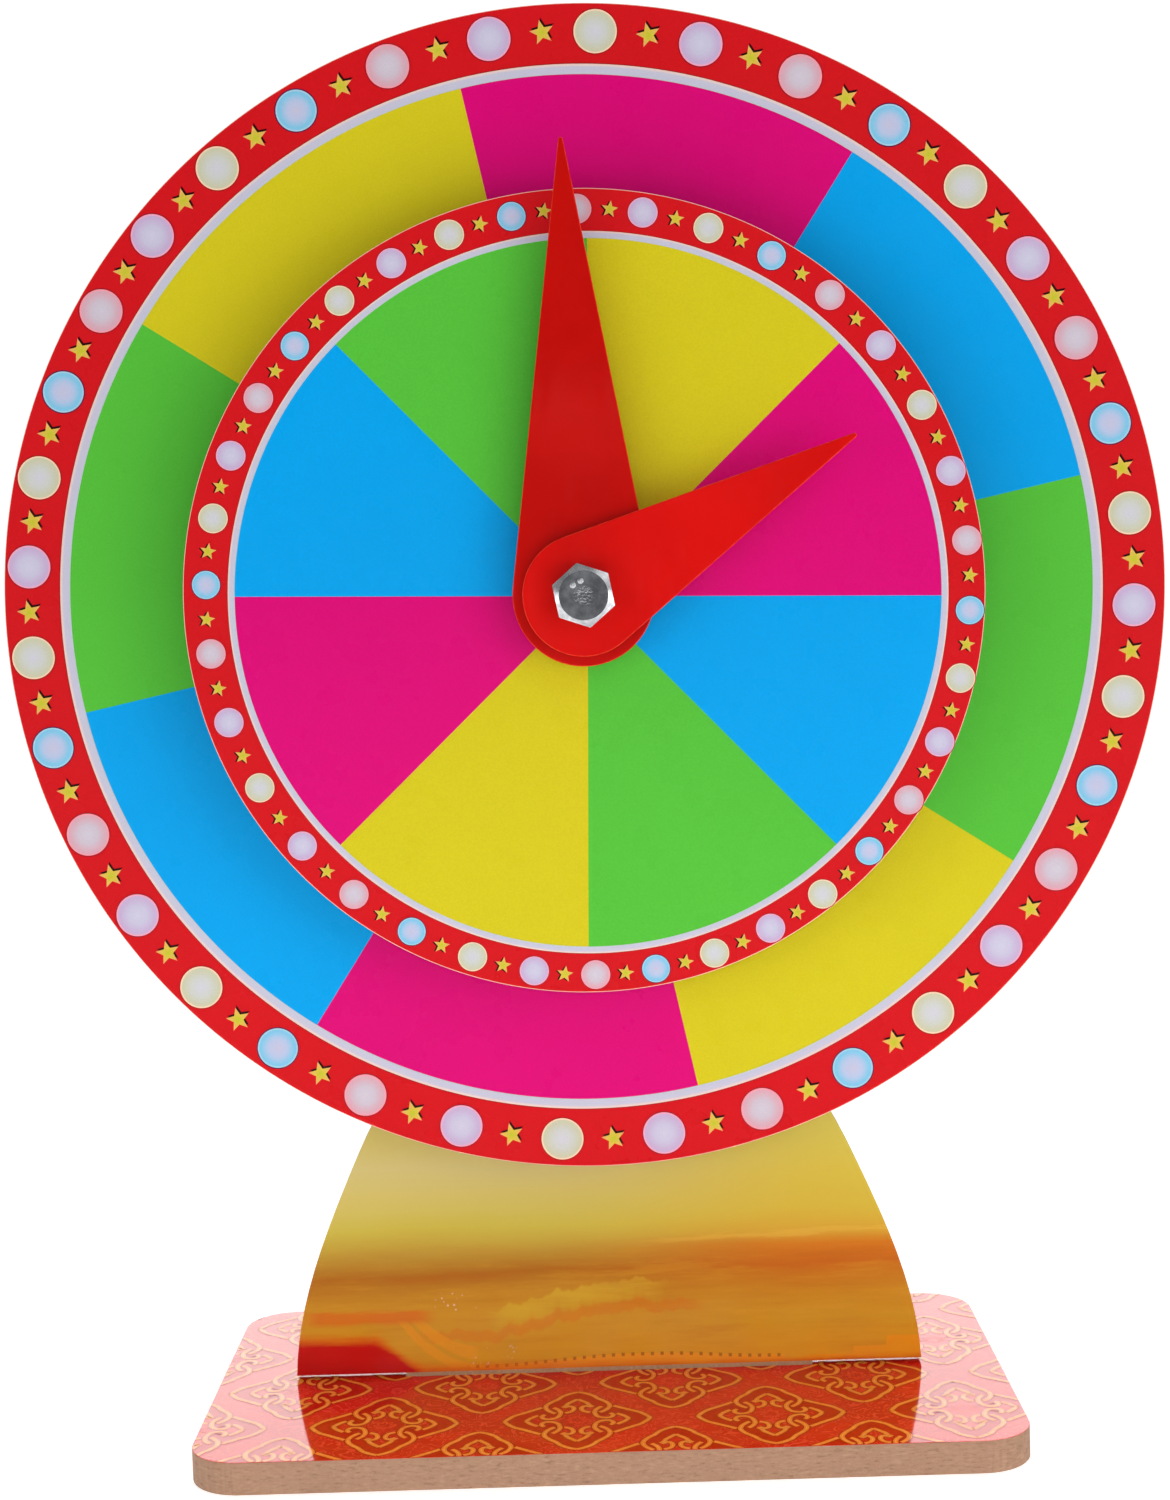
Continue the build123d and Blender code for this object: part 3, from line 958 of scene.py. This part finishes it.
def slab(name, rings, material, nodes, slot_name):
    """A level board with its slot, from outlines that run from its foot to its top."""
    slot_rings = [slot_ring(rings[-1][0].z), slot_ring(rings[0][0].z)]
    points, faces = skin(rings + slot_rings, closed=True)
    made = piece(name, points, faces, material, "stand", nodes, slot_name)
    tidy = bmesh.new()
    tidy.from_mesh(made.data)
    bmesh.ops.remove_doubles(tidy, verts=tidy.verts, dist=weld)
    bmesh.ops.recalc_face_normals(tidy, faces=tidy.faces)
    tidy.to_mesh(made.data)
    tidy.free()
    made.data.set_sharp_from_angle(angle=math.radians(30))
    return made


slab(
    "base_board_mdf",
    [
        base_ring(base_low.z, base_ease),
        base_ring(base_low.z + base_ease, 0),
        base_ring(base_high.z - flat_margin, 0),
        base_ring(base_high.z, flat_margin),
    ],
    mdf_level,
    ["base_board"],
    "mdf",
)
film_top = film_high.z - lattice_depth
film_slab = slab(
    "base_film_ground",
    [base_ring(film_low.z, 0), base_ring(film_top - film_roll, 0), base_ring(film_top, film_roll)],
    lattice_ground("lattice_ground"),
    ["base_top_film"],
    "lattice_film",
)
film_slab.data.materials.append(mdf_level)
for side in film_slab.data.polygons:
    if abs(side.normal.z) < 0.5:
        side.material_index = 1

# One quarter of a lattice medallion, in millimetres from its centre. Each strand
# is a smooth line through its points and is mirrored into the other quarters.
lattice_step = Vector((49.3, 54.6, 0)) * mm
lattice_centre = Vector((-8.3, -37.2, 0)) * mm
arch = [(0, 20.4), (1.8, 19.5), (3.9, 17.6), (5.2, 15.3), (6.7, 13.5), (7.9, 11.5), (8.3, 9.6)]
arch_hook = [(8.3, 9.6), (7.8, 7.6), (6.7, 5.9), (5.7, 5.0)]
wedge = [(9.3, 9.5), (11.5, 7.7), (13.8, 5.9), (16.0, 4.2), (17.6, 2.0), (18.6, 0)]
loop = [(6.2, 9.2), (5.0, 7.6), (4.4, 5.8), (4.5, 4.0), (5.1, 2.2), (6.4, 1.1), (8.0, 1.0)]
loop_curl = [(8.0, 1.0), (9.0, 2.0), (9.0, 3.4), (8.3, 4.2)]
chevron = [(13.1, 0), (12.2, 1.6), (11.2, 2.8), (10.1, 3.8)]
cloud = [(0, 15.0), (1.3, 13.5), (2.5, 11.9), (3.1, 10.3), (4.0, 9.2)]
cloud_curl = [(3.6, 9.0), (2.2, 9.9), (1.2, 9.2), (1.0, 7.6), (1.7, 6.0), (3.2, 5.1)]
strands = [arch + arch_hook[1:], wedge, loop + loop_curl[1:], chevron, cloud, cloud_curl]
field_edge = arch + wedge
heart_edge = cloud + [(4.4, 5.8), (5.1, 2.2), (8.0, 2.6), (10.1, 3.8)] + chevron[-2::-1]
flower_petals = 8
flower_radius = 2.7
flower_dip = 0.22
flower_steps = 8             # points to a petal
lattice_reach = Vector((130, 85, 0)) * mm    # medallions whose centres are farther out are left out


def smooth_line(points, share=6):
    """Points along a curve that passes through each given point."""
    line = []
    for index in range(len(points) - 1):
        before = points[max(index - 1, 0)]
        start, end = points[index], points[index + 1]
        after = points[min(index + 2, len(points) - 1)]
        handles = start + (end - before) / 6, end - (after - start) / 6
        line += interpolate_bezier(start, *handles, end, share + 1)[:-1]
    return line + [points[-1]]


def ribbon(line, width, height):
    """A flat strip along a line, at one height."""
    left, right = [], []
    for index, point in enumerate(line):
        ahead = line[min(index + 1, len(line) - 1)] - line[max(index - 1, 0)]
        across = Vector((-ahead.y, ahead.x, 0)).normalized() * width / 2
        left.append(Vector((point.x + across.x, point.y + across.y, height)))
        right.append(Vector((point.x - across.x, point.y - across.y, height)))
    return sheet(left, right)


def mirrored(corners):
    """The points in all four quarters of a medallion, each quarter as its own list."""
    return [
        [Vector((side_x * x, side_y * y, 0)) * mm for x, y in corners]
        for side_x, side_y in ((1, 1), (1, -1), (-1, -1), (-1, 1))
    ]


def medallion_ribbons(width, height):
    return [
        ribbon(smooth_line(quarter), width, height)
        for strand in strands
        for quarter in mirrored(strand)
    ]


def filled(corners, height):
    """A medallion's outline from its first quarter, as a fan from the centre."""
    right_top, right_low, left_low, left_top = (smooth_line(quarter) for quarter in mirrored(corners))
    rim = right_top + right_low[::-1] + left_low + left_top[::-1]
    points = [Vector((point.x, point.y, height)) for point in rim] + [Vector((0, 0, height))]
    last = len(rim)
    return [(points, [(last, step, (step + 1) % last) for step in range(last)])]


def flower_ribbons(width, height):
    rim = []
    for step in range(flower_petals * flower_steps + 1):
        angle = math.tau * step / (flower_petals * flower_steps)
        reach = flower_radius * (1 - flower_dip + flower_dip * math.cos(flower_petals * angle))
        rim.append(Vector((reach * math.cos(angle), reach * math.sin(angle), 0)) * mm)
    return [ribbon(rim, width, height)]


def lattice_places():
    """Medallion centres in a half-drop repeat that covers the board."""
    for row in range(-4, 7):
        for column in range(-4, 5):
            shift = 0.5 if row % 2 else 0.0
            steps = Vector((column + shift, row / 2, 0))
            place = lattice_centre + steps * lattice_step
            if abs(place.x) < lattice_reach.x and abs(place.y) < lattice_reach.y:
                yield place


def trimmed(made, height):
    """Cuts a sheet of artwork to the board's outline and clears its slot."""
    work = bmesh.new()
    work.from_mesh(made.data)
    outline = base_ring(height, lattice_margin)
    cuts = []
    for start, end in zip(outline, outline[1:] + outline[:1]):
        if (end - start).length > weld:
            cuts.append((start, Vector((end.y - start.y, start.x - end.x, 0)), True))
    for edge in (tab_low, tab_high):
        cuts.append((Vector((edge, 0, 0)), Vector((1, 0, 0)), False))
    for edge in (slot_front, slot_back):
        cuts.append((Vector((0, edge, 0)), Vector((0, 1, 0)), False))
    for place, across, clears in cuts:
        everything = work.verts[:] + work.edges[:] + work.faces[:]
        bmesh.ops.bisect_plane(work, geom=everything, plane_co=place, plane_no=across, clear_outer=clears)
    in_slot = []
    for face in work.faces:
        middle = face.calc_center_median()
        if tab_low < middle.x < tab_high and slot_front < middle.y < slot_back:
            in_slot.append(face)
    bmesh.ops.delete(work, geom=in_slot, context="FACES")
    for face in work.faces:
        if face.normal.z < 0:
            face.normal_flip()
    work.to_mesh(made.data)
    work.free()


def lattice_piece(name, parts, height, material):
    """One colour of the lattice over the whole film."""
    spread = []
    for place in lattice_places():
        spread += [([point + place for point in points], faces) for points, faces in parts]
    points, faces = gather(spread)
    made = piece(name, points, faces, material, "stand", ["base_top_film"], "lattice_film")
    trimmed(made, height)


step_up = 0.012 * mm
gold = lattice_line("lattice_gold", ink(238, 122, 36), ink(250, 146, 52))
line_core = lattice_line("lattice_line_core", ink(250, 156, 66), ink(255, 176, 88))
line_shade = lattice_line("lattice_line_shade", ink(164, 16, 2), ink(182, 24, 4))
field_ink = lattice_line("lattice_field", ink(188, 18, 2), ink(206, 30, 6))
petal_ink = lattice_line("lattice_petals", ink(230, 52, 30), ink(244, 70, 42))
lattice_layers = (
    ("field", filled, field_edge, field_ink),
    ("heart", filled, heart_edge, lattice_ground("lattice_heart")),
    ("line_shade", medallion_ribbons, 1.95 * mm, line_shade),
    ("petals", flower_ribbons, 0.5 * mm, petal_ink),
    ("gold", medallion_ribbons, 1.3 * mm, gold),
    ("gold_core", medallion_ribbons, 0.25 * mm, line_core),
)
for level, (layer_name, draw, what, material) in enumerate(lattice_layers, start=1):
    height = film_top + step_up * level
    lattice_piece(f"base_film_{layer_name}", draw(what, height), height, material)


# ---- finishes on the CAD's parts
def finish_node(node, material):
    """Gives a CAD part's own mesh a better material."""
    slots = frame["nodes"][node].data.materials
    slots.clear()
    slots.append(material)


finish_node("stand_panel", mdf_upright)
finish_node("stand_panel_film", sunset("sunset_print"))
for node in "rear_washer front_washer disc_spacer bearing_shim pointer_standoff pointer_sleeve".split():
    finish_node(node, zinc_turned)
finish_node("slip_washers", nylon)
finish_node("lock_nut_insert", nylon)
for prefix in ("outer", "inner"):
    finish_node(f"{prefix}_disc_flange", black)
    finish_node(f"{prefix}_disc_screws", zinc)
    for part in ("inner_race", "outer_race", "shields", "balls"):
        finish_node(f"{prefix}_bearing_{part}", steel)
    finish_node(f"{prefix}_bearing_cage", brass)


# ---- stage and lighting
def floor():
    """A plain white floor that glows a little, as a lit table top does."""
    look = {"Roughness": 0.9, "Emission_Color": (1, 1, 1, 1), "Emission_Strength": floor_glow}
    shader = Shader("floor", IOR=1.4, Specular_IOR_Level=0.0, **look)
    clouds = shader.band(shader.noise(3.0, 3.0), 0.3, 0.7)
    shader.colour(shader.mix(clouds, ink(244, 244, 245), ink(247, 247, 248)))
    half = floor_size / 2
    corners = [(-half, -half, 0), (half, -half, 0), (half, half, 0), (-half, half, 0)]
    mesh = bpy.data.meshes.new("floor")
    mesh.from_pydata(corners, [], [(0, 1, 2, 3)])
    mesh.materials.append(shader.material)
    made = bpy.data.objects.new("floor", mesh)
    bpy.context.collection.objects.link(made)


def sky():
    """An even white backdrop, soft light that is strongest from behind, and a bright
    window far behind that the base's film mirrors as a white sheen."""
    world = bpy.data.worlds.new("studio")
    bpy.context.scene.world = world
    world.use_nodes = True
    studio = Nodes(world.node_tree, "Generated")
    up, behind = studio.axis("Z"), studio.axis("Y")
    window = studio.times(studio.band(up, 0.18, 0.24), studio.band(up, 0.56, 0.48))
    window = studio.times(window, studio.band(behind, 0.76, 0.84, 0.0, back_glare))
    lit = studio.plus(window, studio.band(behind, -0.5, 0.95, front_light, back_light))
    seen = studio.add("ShaderNodeLightPath").outputs["Is Camera Ray"]
    shown = studio.add("ShaderNodeMix", {"Factor": seen, "A": lit, "B": backdrop})
    background = studio.nodes["Background"].inputs
    studio.join(shown.outputs["Result"], background["Strength"])
    background["Color"].default_value = (1.0, 1.0, 1.0, 1.0)


def soft_box(name, place, aim, size, power, spread=180):
    data = bpy.data.lights.new(name, "AREA")
    data.spread = math.radians(spread)
    data.shape = "RECTANGLE"
    data.size, data.size_y = size
    data.energy = power
    made = bpy.data.objects.new(name, data)
    made.location = place
    made.rotation_euler = (Vector(aim) - Vector(place)).to_track_quat("-Z", "Y").to_euler()
    bpy.context.collection.objects.link(made)


floor_size = 12.0
floor_glow = 0.37
front_light = 0.34
back_light = 1.2
backdrop = 1.1
back_glare = 2.5        # straight behind, for the white sheen on the base's film
floor()
sky()
soft_box("left_box", place=(-0.72, -0.62, 0.12), aim=(0, 0, 0.10), size=(0.45, 0.4), power=1.1)
soft_box("right_box", place=(0.72, -0.62, 0.12), aim=(0, 0, 0.10), size=(0.45, 0.4), power=1.45)
soft_box("high_right_box", place=(0.75, -1.0, 0.85), aim=(0, 0, 0.2), size=(1.1, 1.1), power=2.7)
soft_box("low_box", place=(0, -0.95, 0.30), aim=(0, 0, 0.03), size=(0.5, 0.1), power=0.062, spread=24)
soft_box("foot_box", place=(0, -0.85, 0.85), aim=(0, -0.095, 0), size=(0.3, 0.06), power=0.030, spread=8)

# ---- camera
camera_data = bpy.data.cameras.new("camera")
camera_data.lens = 56.4
camera_data.sensor_width = 36.0
camera = bpy.data.objects.new("camera", camera_data)
camera.location = (0.00272, -0.62276, 0.22102)
camera.rotation_euler = [math.radians(angle) for angle in (85.933, 1.830, 0.226)]
bpy.context.collection.objects.link(camera)
scene = bpy.context.scene
scene.camera = camera
scene.view_settings.view_transform = "Standard"
